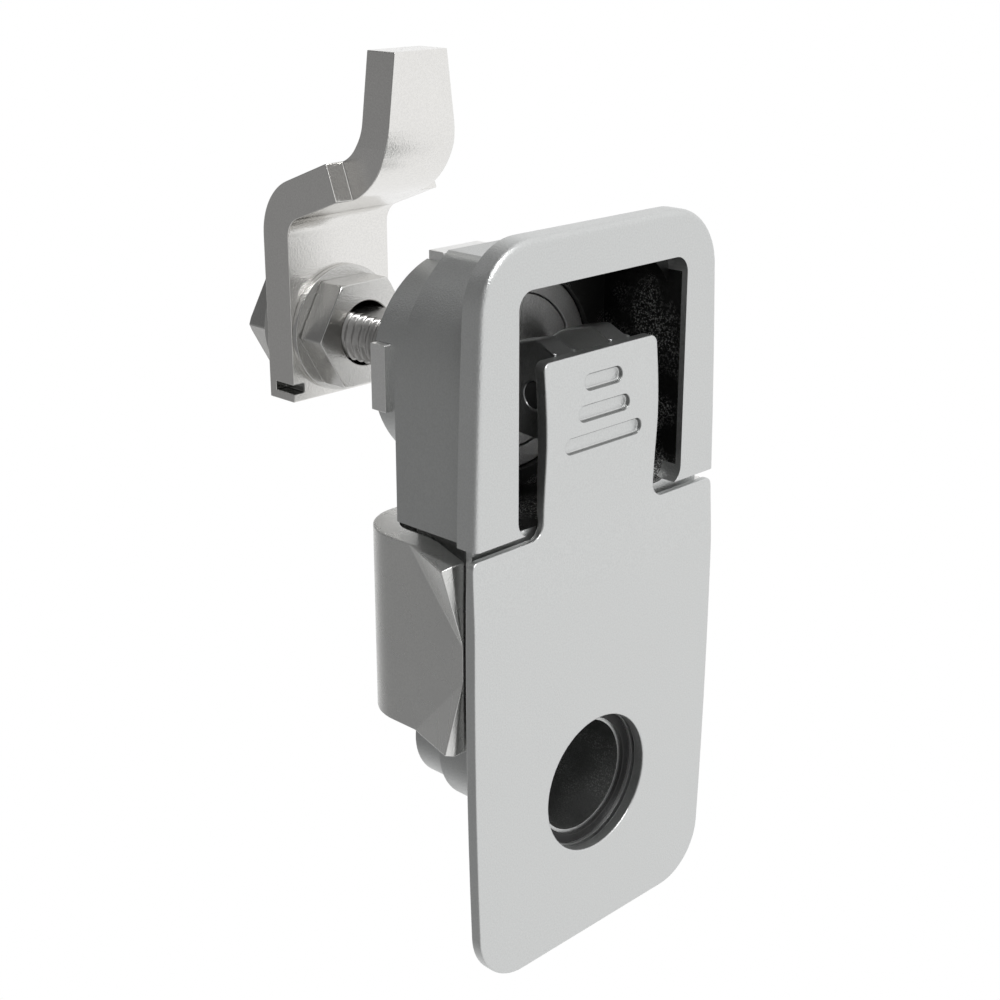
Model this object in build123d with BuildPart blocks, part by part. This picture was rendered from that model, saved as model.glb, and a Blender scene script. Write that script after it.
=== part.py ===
from build123d import *
import os
from math import cos, pi, radians, sin

# Compression latch for a cabinet door.
# X runs across the face, +Y into the cabinet and +Z up, all in millimetres.
# The origin is where the rotor axis crosses the plane that seats on the door.

os.makedirs("parts", exist_ok=True)

# ---- clearances --------------------------------------------------------
run_fit = 0.05          # radial, turning and sliding fits
seat_gap = 0.10         # axial, between stacked pieces that turn
flat_gap = 0.07         # between the driving flats of shaft and plate

# ---- face of the latch -------------------------------------------------
rim_t = 2.8             # rim in front of the door
face_top = 18.7
face_low = -67.5
half_top = 18.7         # half widths of the slightly barrelled outline
half_mid = 20.35
half_low = 19.35
mid_z = -30.0
top_r = 7.5
low_r = 7.0
rim_low = -13.3         # lower ends of the two rim legs
rim_edge_r = 0.55
flange_t = 0.9          # thin plate behind the lever
flange_inset = 1.35
flange_relief = 0.05    # the door bears on the rim alone
root = 0.4              # how far rear forms run into the plates that carry them

# ---- finger recess -----------------------------------------------------
recess_w = 27.4
recess_top = 13.4
recess_low = -13.5
recess_r = 2.0
recess_bowl_r = 16.9    # round limit of the recess behind the rim
floor_y = 9.6
body_rear = 11.1

# ---- body and boss -----------------------------------------------------
body_r = 18.5
body_top = 15.4
body_low = -13.6
belly_w = 31.0
belly_low = -15.7
boss_r = 12.75
boss_rear = 21.2
bore_r = 11.55
tab_w = 7.8
tab_r = 13.15           # the flat tab ends stand just proud of the boss

# ---- lock tube and screw tower -----------------------------------------
lock_z = -47.9
tube_r = 8.2
collar_r = 9.6          # short collar that joins the tube to the flange
collar_rear = 1.6
tube_step_y = 15.7
tube_tail_r = 7.1
tube_rear = 21.2
lock_r = 6.9
lock_depth = 14.5
lock_tail_r = 5.6
lock_tail_depth = 19.7
seal_seat_r = 8.4
seal_in_r = 7.3
seal_t = 0.55
tower_w = 18.0
tower_top = -17.3
tower_low = -35.6
tower_rear = 15.1

# ---- rotor -------------------------------------------------------------
rotor_front = 10.4
rotor_rear = 18.5
tail_r = 6.8
tail_rear = 23.2
clip_t = 0.9
clip_groove_r = 6.1
clip_r = 8.4
groove_y = 14.2         # middle of the groove of the outer ring seal
groove_w = 1.6
outer_cord = 1.3        # side of the square section of the outer ring seal
spring_bore_r = 5.3
spring_seat = 17.0
seal_y = 15.6           # middle of the inner ring seal
seal_groove_w = 1.1
inner_cord = 0.95

# ---- thrust plate ------------------------------------------------------
thrust_front = 10.7
thrust_t = 1.2
thrust_r = 9.0
thrust_key = 8.0        # half width over the two keying flats

# ---- end plate ---------------------------------------------------------
end_t = 2.4
end_front = rotor_rear + seat_gap

# ---- lever and pivot ---------------------------------------------------
pin_y = 2.3
pin_r = 1.5
lift_angle = 75.0
slide = 2.3             # shaft travel while the lever lifts
lobe_in = 3.0           # lobes run from this half width ...
lobe_out = 6.0          # ... to this one
shoulder_z = -14.5
lever_t = 1.5
shoulder_back = -1.55    # relieved so the shoulder clears the rim legs
tongue_top = 5.0
tongue_half = 9.3
hole_r = 8.45
slot_deep = 0.5
dish_z = -24.0          # the face is flat from here down

# ---- shaft -------------------------------------------------------------
shaft_r = 4.0
flat_half = 2.95        # half height over the two long flats
flat_start = 24.5
shaft_rear = 52.7
tang_half_x = 2.9
tang_half_z = 2.6
tang_rear = 12.2
ring_y = 22.2           # front of the small clip on the shaft
ring_t = 0.8
ring_groove_r = 3.5
ring_r = 5.0
wire = 0.8
coil_r = 4.65

# ---- cam, nuts and washers ---------------------------------------------
nut_af = 13.0
nut_bore_r = 4.07
nut_t = 4.0
nut1_y = 36.6
washer_t = 0.8
cam_t = 4.7
cam_y = nut1_y + nut_t + washer_t
nut2_y = cam_y + cam_t + washer_t
cam_w = 16.2
washer_r = cam_w / 2 - 0.1     # the washers end just inside the sides of the cam
cam_neck = 5.5          # half width past the step
cam_taper_z = 24.0
cam_tip = 4.1
cam_low = -8.4
notch_z = -6.75          # small nick in the front corner of the cam
notch_h = 1.1
notch_w = 1.65
notch_deep = 3.5
bend1_z = 12.2
bend1_r = 2.8
bend2_y = 35.6
bend2_z = 26.7
bend2_r = 5.0
lean = 69.0             # degrees the cam leans forward between the bends
cam_top = 34.8

# ---- panel bracket -----------------------------------------------------
sheet_t = 3.0
bracket_half = 19.3
bracket_top = -15.3
bracket_low = -37.8
web_rear = 18.3
bracket_r = 6.5
foot_y = 0.15
foot_top = -25.0         # ends of the straight front edge between the flaps
foot_low = -29.2
fold_top_y = 8.4         # where the fold lines meet the upper and lower edges
fold_low_y = 8.0
flap_angle = 25.0
screw_z = -26.5
screw_r = 2.5
screw_long = 14.5
head_r = 4.25
head_t = 4.2
socket_af = 4.0
socket_deep = 2.4
screw_washer_r = 5.0
screw_washer_t = 1.0


def at_y(y):
    """Plane facing the front at depth y, x to the right and y up."""
    return Plane.XZ.offset(-y)


def face_outline(inset):
    """Closed outline of the rim and the lever, shrunk by inset."""
    with BuildSketch() as shape:
        with BuildLine():
            right = ThreePointArc((half_top, face_top), (half_mid, mid_z), (half_low, face_low))
            Line(right @ 1, (-half_low, face_low))
            left = ThreePointArc((-half_low, face_low), (-half_mid, mid_z), (-half_top, face_top))
            Line(left @ 1, right @ 0)
        make_face()
        fillet(shape.vertices().group_by(Axis.Y)[-1], radius=top_r)
        fillet(shape.vertices().group_by(Axis.Y)[0], radius=low_r)
        if inset:
            offset(amount=-inset)
    return shape.sketch


def ring_clip(y, t, r_in, r_out, mouth):
    """Flat open ring around the shaft axis, its mouth pointing down."""
    with BuildPart() as ring:
        with BuildSketch(at_y(y + t)):
            Circle(r_out)
            Circle(r_in, mode=Mode.SUBTRACT)
            with Locations((0, -r_out)):
                Rectangle(mouth, 2 * (r_out - 0.6 * r_in), mode=Mode.SUBTRACT)
        extrude(amount=t)
    return ring.part


def hex_nut(y):
    """Plain chamfered nut whose corners point left and right."""
    with BuildPart() as nut:
        with BuildSketch(at_y(y + nut_t)):
            RegularPolygon(nut_af / 2, 6, major_radius=False)
            Circle(nut_bore_r, mode=Mode.SUBTRACT)
        extrude(amount=nut_t)
        with BuildSketch(Plane.YZ):
            with BuildLine():
                corner = nut_af / 2 / cos(pi / 6)
                Polyline((y, 0), (y, nut_af / 2 - 0.2), (y + 0.6, corner), (y + nut_t - 0.6, corner),
                         (y + nut_t, nut_af / 2 - 0.2), (y + nut_t, 0), close=True)
            make_face()
        revolve(axis=Axis.Y, mode=Mode.INTERSECT)
    return nut.part


def flat_washer(y):
    """Flat washer on the shaft."""
    with BuildPart() as washer:
        with BuildSketch(at_y(y + washer_t)):
            Circle(washer_r)
            Circle(shaft_r + 0.2, mode=Mode.SUBTRACT)
        extrude(amount=washer_t)
    return washer.part


# ---- housing: rim, recess, body, boss, flange, lock tube, tower --------
with BuildPart() as housing:
    with BuildSketch(at_y(0)):
        add(face_outline(0))
        with Locations((0, rim_low)):
            Rectangle(60, 120, align=(Align.CENTER, Align.MAX), mode=Mode.SUBTRACT)
    extrude(amount=rim_t)
    rim_front = housing.faces().sort_by(Axis.Y)[0]
    fillet(rim_front.edges(), radius=rim_edge_r)
    # thin plate behind the lever, run up into the rim legs
    with BuildSketch(at_y(-flange_relief)):
        add(face_outline(flange_inset))
        with Locations((0, rim_low + 0.5)):
            Rectangle(60, 60, align=(Align.CENTER, Align.MIN), mode=Mode.SUBTRACT)
    extrude(amount=flange_t)
    # body with a round back and a flat top
    with BuildSketch(at_y(body_rear)):
        Circle(body_r)
        with Locations((0, body_top)):
            Rectangle(60, 20, align=(Align.CENTER, Align.MIN), mode=Mode.SUBTRACT)
        with Locations((0, body_low)):
            Rectangle(60, 20, align=(Align.CENTER, Align.MAX), mode=Mode.SUBTRACT)
            Rectangle(2 * body_r, -body_low, align=(Align.CENTER, Align.MIN))
        with Locations((0, belly_low)):
            Rectangle(belly_w, 4, align=(Align.CENTER, Align.MIN))
    extrude(amount=body_rear + root)
    with BuildSketch(at_y(boss_rear)):
        Circle(boss_r)
    extrude(amount=boss_rear - body_rear)
    # lock tube with its collar, and the tower for the bracket screw
    with BuildSketch(at_y(tube_step_y)):
        with Locations((0, lock_z)):
            Circle(tube_r)
    extrude(amount=tube_step_y + root)
    with BuildSketch(at_y(tower_rear)):
        with Locations((0, (tower_top + tower_low) / 2)):
            Rectangle(tower_w, tower_top - tower_low)
    extrude(amount=tower_rear + root)
    with BuildSketch(at_y(collar_rear)):
        with Locations((0, lock_z)):
            Circle(collar_r)
    extrude(amount=collar_rear + root)
    with BuildSketch(at_y(tube_rear)):
        with Locations((0, lock_z)):
            Circle(tube_tail_r)
    extrude(amount=tube_rear - tube_step_y)
    # finger recess: square in the rim, round-cornered behind it
    with BuildSketch(at_y(0)):
        with Locations((0, (recess_top + recess_low) / 2)):
            RectangleRounded(recess_w, recess_top - recess_low, recess_r)
    extrude(amount=rim_t, mode=Mode.SUBTRACT)
    with BuildSketch(at_y(floor_y)):
        with Locations((0, (recess_top + recess_low) / 2)):
            RectangleRounded(recess_w, recess_top - recess_low, recess_r)
        Circle(recess_bowl_r, mode=Mode.INTERSECT)
    extrude(amount=floor_y, mode=Mode.SUBTRACT)
    # rotor bore, lock bore and screw hole
    with BuildSketch(at_y(boss_rear)):
        Circle(bore_r)
    extrude(amount=boss_rear - floor_y, mode=Mode.SUBTRACT)
    with BuildSketch(at_y(lock_depth)):
        with Locations((0, lock_z)):
            Circle(lock_r)
    extrude(amount=lock_depth + 2, mode=Mode.SUBTRACT)
    with BuildSketch(at_y(lock_tail_depth)):
        with Locations((0, lock_z)):
            Circle(lock_tail_r)
    extrude(amount=lock_tail_depth - lock_depth, mode=Mode.SUBTRACT)
    with BuildSketch(at_y(0)):
        with Locations((0, lock_z)):
            Circle(seal_seat_r)
    extrude(amount=2, mode=Mode.SUBTRACT)
    with BuildSketch(at_y(tower_rear)):
        with Locations((0, screw_z)):
            Circle(screw_r + run_fit)
    extrude(amount=11, mode=Mode.SUBTRACT)
    # slots through the rim of the boss for the tabs of the end plate
    with BuildSketch(at_y(boss_rear)):
        for turn in (0, 90):
            Rectangle(2 * tab_r + 1, tab_w + seat_gap, rotation=turn)
    extrude(amount=boss_rear - end_front, mode=Mode.SUBTRACT)
housing.part.label = "housing"
export_step(housing.part, "parts/housing.step")

# ---- end plate: closes the boss behind the rotor -----------------------
with BuildPart() as end_plate:
    with BuildSketch(at_y(end_front + end_t)):
        Circle(bore_r - run_fit)
        for turn in (0, 90):
            Rectangle(2 * tab_r, tab_w, rotation=turn)
        Circle(tail_r + run_fit, mode=Mode.SUBTRACT)
    extrude(amount=end_t)
end_plate.part.label = "end_plate"
export_step(end_plate.part, "parts/end_plate.step")

# ---- rotor: turns in the boss and carries the shaft --------------------
with BuildPart() as rotor:
    with BuildSketch(Plane.YZ):
        rotor_r = bore_r - run_fit
        clip_y = end_front + end_t + seat_gap
        with BuildLine():
            Polyline((rotor_front, 0), (rotor_front, rotor_r), (rotor_rear, rotor_r), (rotor_rear, tail_r),
                     (tail_rear, tail_r), (tail_rear, spring_bore_r), (spring_seat, spring_bore_r),
                     (spring_seat, 0), close=True)
        make_face()
        with Locations((groove_y, rotor_r)):
            Rectangle(groove_w, 2 * outer_cord, mode=Mode.SUBTRACT)
        with Locations((clip_y + clip_t / 2, tail_r)):
            Rectangle(clip_t, 2 * (tail_r - clip_groove_r), mode=Mode.SUBTRACT)
        with Locations((seal_y, (shaft_r + run_fit + inner_cord) / 2)):
            Rectangle(seal_groove_w, shaft_r + run_fit + inner_cord, mode=Mode.SUBTRACT)
        Rectangle(80, 2 * (shaft_r + run_fit), mode=Mode.SUBTRACT)
    revolve(axis=Axis.Y)
    with BuildSketch(at_y(thrust_front + thrust_t)):
        Circle(thrust_r + run_fit)
        Rectangle(2 * (thrust_key + run_fit), 30, mode=Mode.INTERSECT)
    extrude(amount=5, mode=Mode.SUBTRACT)
rotor.part.label = "rotor"
export_step(rotor.part, "parts/rotor.step")

# ---- thrust plate: hardened face the lever lobes press on --------------
with BuildPart() as thrust_plate:
    with BuildSketch(at_y(thrust_front + thrust_t)):
        Circle(thrust_r)
        Rectangle(2 * thrust_key, 30, mode=Mode.INTERSECT)
        Rectangle(2 * (tang_half_x + flat_gap), 2 * (tang_half_z + flat_gap), mode=Mode.SUBTRACT)
    extrude(amount=thrust_t)
thrust_plate.part.label = "thrust_plate"
export_step(thrust_plate.part, "parts/thrust_plate.step")

# ---- clips -------------------------------------------------------------
rotor_clip = ring_clip(clip_y, clip_t, clip_groove_r, clip_r, 6.0)
rotor_clip.label = "rotor_clip"
export_step(rotor_clip, "parts/rotor_clip.step")

shaft_clip = ring_clip(ring_y, ring_t, ring_groove_r, ring_r, 3.4)
shaft_clip.label = "shaft_clip"
export_step(shaft_clip, "parts/shaft_clip.step")

# ---- ring seals --------------------------------------------------------
with BuildPart() as rotor_seal:
    with BuildSketch(at_y(groove_y + outer_cord / 2)):
        Circle(rotor_r)
        Circle(rotor_r - outer_cord, mode=Mode.SUBTRACT)
    extrude(amount=outer_cord)
rotor_seal.part.label = "rotor_seal"
export_step(rotor_seal.part, "parts/rotor_seal.step")

with BuildPart() as shaft_seal:
    with BuildSketch(at_y(seal_y + inner_cord / 2)):
        Circle(shaft_r + run_fit + inner_cord)
        Circle(shaft_r + run_fit, mode=Mode.SUBTRACT)
    extrude(amount=inner_cord)
shaft_seal.part.label = "shaft_seal"
export_step(shaft_seal.part, "parts/shaft_seal.step")

with BuildPart() as lock_seal:
    with BuildSketch(at_y(0)):
        with Locations((0, lock_z)):
            Circle(seal_seat_r)
            Circle(seal_in_r, mode=Mode.SUBTRACT)
    extrude(amount=seal_t)
lock_seal.part.label = "lock_seal"
export_step(lock_seal.part, "parts/lock_seal.step")

# ---- shaft: pivot tang, round neck and threaded end with two flats -----
with BuildPart() as shaft:
    with BuildSketch(at_y(shaft_rear)):
        Circle(shaft_r)
    extrude(amount=shaft_rear - tang_rear)
    chamfer(shaft.edges().sort_by(Axis.Y)[-1], length=0.6)
    with BuildSketch(Plane.YZ):
        with Locations((pin_y, 0)):
            Circle(tang_half_z)
            Rectangle(tang_rear - pin_y, 2 * tang_half_z, align=(Align.MIN, Align.CENTER))
            Circle(pin_r, mode=Mode.SUBTRACT)
    extrude(amount=tang_half_x, both=True)
    with BuildSketch(Plane.YZ):
        with Locations((flat_start, flat_half), (flat_start, -flat_half - 3)):
            Rectangle(40, 3, align=(Align.MIN, Align.MIN))
    extrude(amount=10, both=True, mode=Mode.SUBTRACT)
    with BuildSketch(at_y(ring_y + ring_t)):
        Circle(shaft_r + 1)
        Circle(ring_groove_r, mode=Mode.SUBTRACT)
    extrude(amount=ring_t, mode=Mode.SUBTRACT)
shaft.part.label = "shaft"
export_step(shaft.part, "parts/shaft.step")

# ---- pivot pin: cross pin through the tang and both lobes --------------
with BuildPart() as pivot_pin:
    with BuildSketch(Plane.YZ):
        with Locations((pin_y, 0)):
            Circle(pin_r)
    extrude(amount=lobe_out - 0.1, both=True)
pivot_pin.part.label = "pivot_pin"
export_step(pivot_pin.part, "parts/pivot_pin.step")

# ---- spring: keeps the lobes on the thrust plate -----------------------
with BuildPart() as shaft_spring:
    free = ring_y - spring_seat - wire - 2 * run_fit
    with BuildLine():
        coil = Helix(pitch=free / 2.5, height=free, radius=coil_r, direction=(0, 1, 0),
                     center=(0, spring_seat + wire / 2 + run_fit, 0))
    with BuildSketch(Plane(origin=coil @ 0, z_dir=coil % 0)):
        Rectangle(wire, wire)
    sweep(is_frenet=True)
shaft_spring.part.label = "shaft_spring"
export_step(shaft_spring.part, "parts/shaft_spring.step")


# ---- lever: face plate, tongue and two lobes on the pin ----------------
def lobe_points(steps):
    """Back of a lobe: its reach falls evenly from full to full less slide."""
    reach = thrust_front - pin_y - run_fit
    rate = -slide / radians(lift_angle)
    points = []
    for i in range(steps + 1):
        a = radians(lift_angle) * i / steps
        h = reach + rate * a
        points.append((pin_y + h * cos(a) - rate * sin(a), h * sin(a) + rate * cos(a)))
    return points


with BuildPart() as lever:
    # side profile of the plate, dished where tongue and plate meet
    with BuildSketch(Plane.YZ):
        with BuildLine():
            low = Line((-rim_t, face_low), (-rim_t, dish_z))
            dip = Spline((-rim_t, dish_z), (-2.4, shoulder_z + 0.4), tangents=((0, 1), (0.02, 1)))
            pad = Spline(dip @ 1, (-rim_t, -3.9), (-2.25, tongue_top), tangents=((0.02, 1), (0.10, 1)))
            Line(pad @ 1, (-2.25 + lever_t, tongue_top))
            back = Spline((-2.25 + lever_t, tongue_top), (-rim_t + lever_t, -3.9), (-1.2, -10.0),
                          tangents=((-0.10, -1), (0, -1)))
            Polyline(back @ 1, (-1.2, -11.5), (shoulder_back, shoulder_z), (shoulder_back, shoulder_z - 0.5),
                     (-rim_t + lever_t, -18.5), (-rim_t + lever_t, face_low), low @ 0)
        make_face()
    extrude(amount=30, both=True)
    # front outline: tongue between the rim legs, plate below them
    with BuildSketch(at_y(10)) as lever_front:
        add(face_outline(0))
        with Locations((0, shoulder_z)):
            Rectangle(60, 60, align=(Align.CENTER, Align.MIN), mode=Mode.SUBTRACT)
        with Locations((0, shoulder_z - 5)):
            Rectangle(2 * tongue_half, tongue_top - shoulder_z + 5, align=(Align.CENTER, Align.MIN))
        corners = lever_front.vertices().filter_by(lambda v: abs(v.Y - shoulder_z) < 0.01)
        fillet(corners.filter_by(lambda v: abs(v.X) < tongue_half + 0.1), radius=1.8)
        tips = lever_front.vertices().filter_by(lambda v: v.Y > shoulder_z - 0.1)
        fillet(tips.filter_by(lambda v: abs(v.X) > 15 or v.Y > tongue_top - 0.1), radius=1.0)
        with Locations((0, lock_z)):
            Circle(hole_r, mode=Mode.SUBTRACT)
    extrude(amount=20, mode=Mode.INTERSECT)
    # grip slots across the tongue
    for z, half, face_y in ((1.7, 3.05, -2.55), (-1.65, 4.15, -2.74), (-4.9, 6.25, -2.79)):
        with BuildSketch(at_y(face_y + slot_deep)):
            with Locations((0, z)):
                SlotOverall(2 * half, 1.75)
        extrude(amount=2, mode=Mode.SUBTRACT)
    # two lobes that roll on the thrust plate while the lever lifts
    with BuildSketch(Plane.YZ) as lobe:
        with BuildLine():
            cam_back = Spline(*lobe_points(12))
            top_end = cam_back @ 1
            lift = radians(lift_angle)
            crown = top_end + Vector(-sin(lift), cos(lift) - 0.02) * 3.6
            Polyline(top_end, crown, (-1.6, 4.7), (-1.6, -4.5), (pin_y, -4.9),
                     ((cam_back @ 0).X - 1.2, -4.2), (cam_back @ 0) - (0, 1.2, 0), cam_back @ 0)
        make_face()
        fillet(lobe.vertices().group_by(Axis.Y)[-1], radius=1.6)
        with Locations((pin_y, 0)):
            Circle(pin_r + run_fit, mode=Mode.SUBTRACT)
    lobe_blank = extrude(amount=lobe_out, both=True, mode=Mode.PRIVATE)
    with BuildSketch(at_y(pin_y)):
        for side in (-1, 1):
            with Locations((side * (lobe_in + lobe_out) / 2, 0)):
                Rectangle(lobe_out - lobe_in, 40)
    keep = extrude(amount=20, both=True, mode=Mode.PRIVATE)
    add(lobe_blank & keep)
lever.part.label = "lever"
export_step(lever.part, "parts/lever.step")

# ---- nuts and washers --------------------------------------------------
front_nut = hex_nut(nut1_y)
front_nut.label = "front_nut"
export_step(front_nut, "parts/front_nut.step")

rear_nut = hex_nut(nut2_y)
rear_nut.label = "rear_nut"
export_step(rear_nut, "parts/rear_nut.step")

front_washer = flat_washer(nut1_y + nut_t)
front_washer.label = "front_washer"
export_step(front_washer, "parts/front_washer.step")

rear_washer = flat_washer(cam_y + cam_t)
rear_washer.label = "rear_washer"
export_step(rear_washer, "parts/rear_washer.step")

# ---- cam: cranked plate that pulls against the frame -------------------
with BuildPart() as cam:
    with BuildSketch(Plane.YZ):
        with BuildLine():
            front = Line((cam_y, cam_low), (cam_y, bend1_z))
            turn_in = JernArc(front @ 1, (0, 1), bend1_r, lean)
            up_y = bend2_y - (bend2_r + cam_t)
            turn_out = JernArc((up_y, bend2_z), (0, -1), bend2_r + cam_t, lean)
            Line(turn_in @ 1, turn_out @ 1)
            Line(turn_out @ 0, (up_y, cam_top))
            Line((up_y, cam_top), (up_y + cam_t, cam_top))
            Line((up_y + cam_t, cam_top), (up_y + cam_t, bend2_z))
            turn_two = JernArc((up_y + cam_t, bend2_z), (0, -1), bend2_r, lean)
            rear = Line((cam_y + cam_t, cam_low), (cam_y + cam_t, bend1_z))
            turn_back = JernArc(rear @ 1, (0, 1), bend1_r + cam_t, lean)
            Line(turn_two @ 1, turn_back @ 1)
            Line(rear @ 0, front @ 0)
        make_face()
    extrude(amount=15, both=True)
    with BuildSketch(at_y(60)) as cam_front:
        with BuildLine():
            Polyline((cam_w / 2, cam_low), (cam_w / 2, cam_taper_z), (cam_neck, cam_taper_z),
                     (cam_tip, cam_top), (-cam_tip, cam_top), (-cam_neck, cam_taper_z),
                     (-cam_w / 2, cam_taper_z), (-cam_w / 2, cam_low), close=True)
        make_face()
    extrude(amount=60, mode=Mode.INTERSECT)
    # where the second bend starts the plate steps in, square to its own faces
    step_front, step_rear = turn_out @ 1, turn_two @ 1
    through = Vector(0, step_rear.X - step_front.X, step_rear.Y - step_front.Y)
    step_plane = Plane(origin=(0, step_front.X, step_front.Y), x_dir=(1, 0, 0),
                       z_dir=Vector(1, 0, 0).cross(through))
    with BuildSketch(step_plane):
        for side in (-1, 1):
            with Locations((side * (cam_neck + cam_w / 2), 0)):
                Rectangle(cam_w, 30)
    extrude(amount=30, mode=Mode.SUBTRACT)
    with BuildSketch(at_y(cam_y + notch_deep)):
        with Locations((-cam_w / 2, notch_z)):
            Rectangle(2 * notch_w, notch_h)
    extrude(amount=2 * notch_deep, mode=Mode.SUBTRACT)
    with BuildSketch(at_y(60)):
        Circle(shaft_r + run_fit)
        Rectangle(20, 2 * (flat_half + run_fit), mode=Mode.INTERSECT)
    extrude(amount=30, mode=Mode.SUBTRACT)
cam.part.label = "cam"
export_step(cam.part, "parts/cam.step")

# ---- bracket: folded sheet that draws the housing onto the door --------
with BuildPart() as bracket:
    with BuildSketch(Plane.XY.offset(bracket_low)) as plan:
        with BuildLine():
            Polyline((-bracket_half, foot_y), (-bracket_half, web_rear), (bracket_half, web_rear),
                     (bracket_half, foot_y), (bracket_half - sheet_t, foot_y),
                     (bracket_half - sheet_t, web_rear - sheet_t),
                     (-bracket_half + sheet_t, web_rear - sheet_t), (-bracket_half + sheet_t, foot_y),
                     close=True)
        make_face()
        outer = plan.vertices().filter_by(lambda v: abs(v.Y - web_rear) < 0.01)
        fillet(outer, radius=bracket_r)
        inner = plan.vertices().filter_by(lambda v: abs(v.Y - web_rear + sheet_t) < 0.01)
        fillet(inner, radius=bracket_r - sheet_t)
    extrude(amount=bracket_top - bracket_low)
    # the four front corners are cut off along their fold lines
    folds = ((fold_top_y, bracket_top, foot_top), (fold_low_y, bracket_low, foot_low))
    with BuildSketch(Plane.YZ):
        for edge_y, edge_z, foot_z in folds:
            far = 2 * edge_z - foot_z
            with BuildLine():
                Polyline((edge_y, edge_z), (foot_y, foot_z), (foot_y - sheet_t, foot_z),
                         (foot_y - sheet_t, far), (edge_y, far), close=True)
            make_face()
    extrude(amount=2 * bracket_half, both=True, mode=Mode.SUBTRACT)
    # and stand outwards again as flat flaps, each with the solid inside of its fold
    for side in (-1, 1):
        for edge_y, edge_z, foot_z in folds:
            x_face = side * bracket_half
            origin = Vector(x_face, edge_y, edge_z)
            fold_line = Vector(x_face, foot_y, foot_z) - origin
            along = fold_line.normalized()
            to_corner = Vector(x_face, foot_y, edge_z) - origin
            across = (to_corner - along * to_corner.dot(along)).normalized()
            out = Vector(side, 0, 0)
            tilt = radians(flap_angle)
            folded = across * cos(tilt) + out * sin(tilt)
            inward = (across * sin(tilt) - out * cos(tilt)) * sheet_t
            flap_plane = Plane(origin=origin, x_dir=along, z_dir=inward.normalized())
            turn = 1 if flap_plane.y_dir.dot(folded) > 0 else -1
            with BuildSketch(flap_plane):
                with BuildLine():
                    Polyline((0, 0), (fold_line.length, 0),
                             (to_corner.dot(along), turn * to_corner.dot(across)), close=True)
                make_face()
            extrude(amount=sheet_t)
            wedge_plane = Plane(origin=origin, x_dir=out, z_dir=along)
            tip = (inward.dot(wedge_plane.x_dir), inward.dot(wedge_plane.y_dir))
            with BuildSketch(wedge_plane):
                with BuildLine():
                    Polyline((0, 0), (-sheet_t, 0), tip, close=True)
                make_face()
            extrude(amount=fold_line.length)
    # nothing reaches in front of the straight edge, over the top or under the bottom
    with BuildSketch(at_y(web_rear)):
        with Locations((0, (bracket_top + bracket_low) / 2)):
            Rectangle(3 * bracket_half, bracket_top - bracket_low)
    extrude(amount=web_rear - foot_y, mode=Mode.INTERSECT)
    with BuildSketch(at_y(web_rear)):
        with Locations((0, screw_z)):
            Circle(screw_r + 0.25)
    extrude(amount=sheet_t, mode=Mode.SUBTRACT)
bracket.part.label = "bracket"
export_step(bracket.part, "parts/bracket.step")

# ---- bracket screw and washer ------------------------------------------
head_seat = web_rear + screw_washer_t
with BuildPart() as bracket_screw:
    with BuildSketch(at_y(head_seat + head_t)):
        with Locations((0, screw_z)):
            Circle(head_r)
    extrude(amount=head_t)
    chamfer(bracket_screw.edges().sort_by(Axis.Y)[-1], length=0.5)
    with BuildSketch(at_y(head_seat)):
        with Locations((0, screw_z)):
            Circle(screw_r)
    extrude(amount=screw_long)
    with BuildSketch(at_y(head_seat + head_t)):
        with Locations((0, screw_z)):
            RegularPolygon(socket_af / 2, 6, major_radius=False)
    extrude(amount=socket_deep, mode=Mode.SUBTRACT)
bracket_screw.part.label = "bracket_screw"
export_step(bracket_screw.part, "parts/bracket_screw.step")

with BuildPart() as bracket_washer:
    with BuildSketch(at_y(head_seat)):
        with Locations((0, screw_z)):
            Circle(screw_washer_r)
            Circle(screw_r + 0.15, mode=Mode.SUBTRACT)
    extrude(amount=screw_washer_t)
bracket_washer.part.label = "bracket_washer"
export_step(bracket_washer.part, "parts/bracket_washer.step")
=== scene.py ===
"""Looks of a flush compression latch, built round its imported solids.

All sizes are in metres, in the frame of the solids: +Y runs into the cabinet along the
rotor axis, +Z up the face, and the origin lies where that axis meets the door.
"""

import logging
import math
from dataclasses import dataclass, field
from enum import Enum

import bmesh
import bpy
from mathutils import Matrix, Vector


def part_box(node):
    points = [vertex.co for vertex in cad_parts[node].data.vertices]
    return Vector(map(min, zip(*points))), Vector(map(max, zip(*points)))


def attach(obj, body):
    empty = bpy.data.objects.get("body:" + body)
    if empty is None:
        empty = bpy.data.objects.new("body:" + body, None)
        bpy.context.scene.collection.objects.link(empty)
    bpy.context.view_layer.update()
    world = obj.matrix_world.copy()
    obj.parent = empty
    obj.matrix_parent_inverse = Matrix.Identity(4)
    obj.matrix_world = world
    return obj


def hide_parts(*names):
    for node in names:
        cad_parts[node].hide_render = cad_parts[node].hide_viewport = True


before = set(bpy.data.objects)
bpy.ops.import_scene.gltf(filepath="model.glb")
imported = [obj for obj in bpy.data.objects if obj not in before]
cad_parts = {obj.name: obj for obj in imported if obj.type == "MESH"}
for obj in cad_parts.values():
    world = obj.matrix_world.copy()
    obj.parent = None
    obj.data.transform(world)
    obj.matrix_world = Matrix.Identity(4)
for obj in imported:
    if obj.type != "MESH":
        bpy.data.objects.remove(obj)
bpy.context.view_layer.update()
MM = 0.001

Colour = tuple[float, float, float]
Point = tuple[float, float, float]
Span = tuple[float, float]

# Points of a mesh that lie closer than this are one point: in a solid, and in a form made here.
WELD = 0.002 * MM
FINE_WELD = 0.001 * MM
# Two faces with a smaller fold between them lie in one plane.
FLAT_FOLD = math.radians(0.05)
# Facets across a broken edge, and how much more the large faces count for its shading.
BEVEL_FACETS = 3
LARGE_FACE_WEIGHT = 100

# Face attribute that tells how strongly a face carries painted shade: a dark colour that stands
# in for the shade on inner walls.
PAINTED_SHADE_MARK = "painted_shade"
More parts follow.
